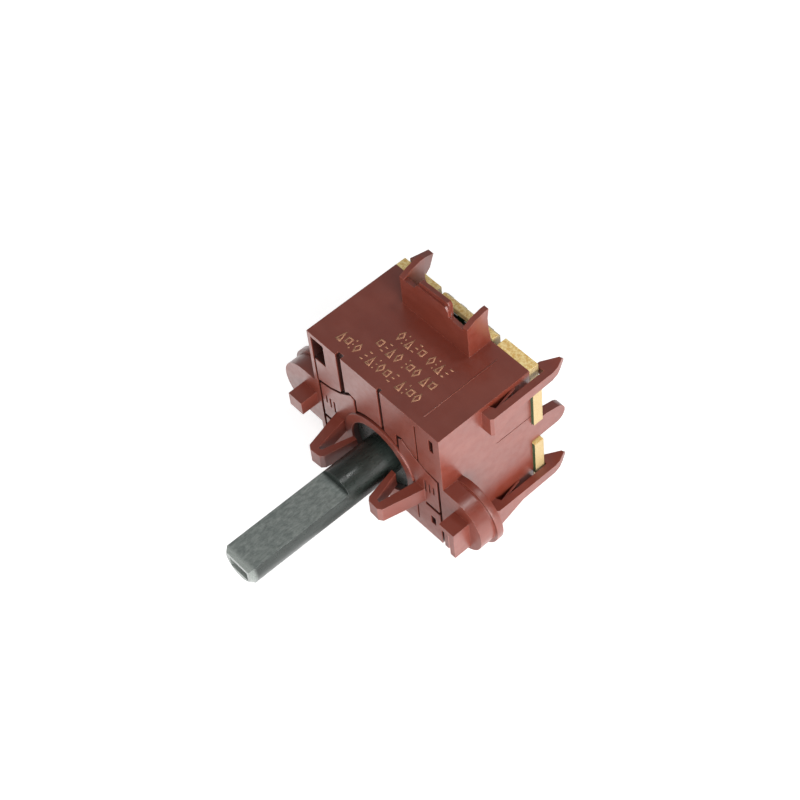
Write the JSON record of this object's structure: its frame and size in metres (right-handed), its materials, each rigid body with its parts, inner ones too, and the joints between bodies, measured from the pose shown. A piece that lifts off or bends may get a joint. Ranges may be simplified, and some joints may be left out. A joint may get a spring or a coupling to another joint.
{
  "type": "rotary selector switch",
  "caption": "Rotary selector switch with a flatted plastic shaft, a clip-in moulded housing with round ears, and a circuit board across its back.",
  "frame": {"origin": "the point where the shaft's axis crosses the plane of the housing's front face", "axes": "-Y along the shaft towards the knob, +X towards the side with the outer snap arms, +Z towards the marked top face"},
  "size_m": [0.0396, 0.0458, 0.0318],
  "materials": {
    "maroon_plastic": "satin glass-filled moulding, red-brown",
    "front_plate_plastic": "satin glass-filled moulding, red-brown",
    "shaft_plastic": "satin moulding, dark grey-green",
    "natural_plastic": "natural moulding, off-white",
    "rotor_plastic": "satin moulding, black",
    "spring_steel": "bright spring steel",
    "ball_steel": "polished bearing steel",
    "contact_brass": "stamped contact bronze",
    "board_laminate": "epoxy-glass laminate with yellow edges and green lacquer",
    "copper": "etched copper",
    "tinned_copper": "tinned copper",
    "resistor_body": "glazed black",
    "capacitor_body": "glazed tan ceramic"
  },
  "bodies": {
    "switch_body": {"housing": "maroon_plastic", "front_plate": "front_plate_plastic", "thrust_washer": "spring_steel", "detent_guide": "natural_plastic", "spring_plug": "natural_plastic", "detent_spring": "spring_steel", "circuit_board": "board_laminate", "common_track": "copper", "coded_tracks": "copper", "edge_contacts": "tinned_copper", "resistors": "resistor_body", "capacitor": "capacitor_body"},
    "spindle": {"shaft": "shaft_plastic", "detent_wheel": "natural_plastic", "spring_washer": "spring_steel", "rotor": "rotor_plastic", "retaining_ring": "spring_steel", "upper_wiper": "contact_brass", "lower_wiper": "contact_brass"},
    "ball": {"detent_ball": "ball_steel"}
  },
  "joints": [
    {"name": "shaft_turn", "type": "hinge", "parent": "switch_body", "child": "spindle", "pos_m": [0, 0, 0], "axis": [0, -1, 0], "continuous": true},
    {"name": "ball_lift", "type": "slide", "parent": "switch_body", "child": "ball", "axis": [0, 0, 1], "range_m": [0, 0.00035], "stiffness_N_per_m": 300, "springref_m": -0.0015, "deforming": ["detent_spring"]}
  ]
}
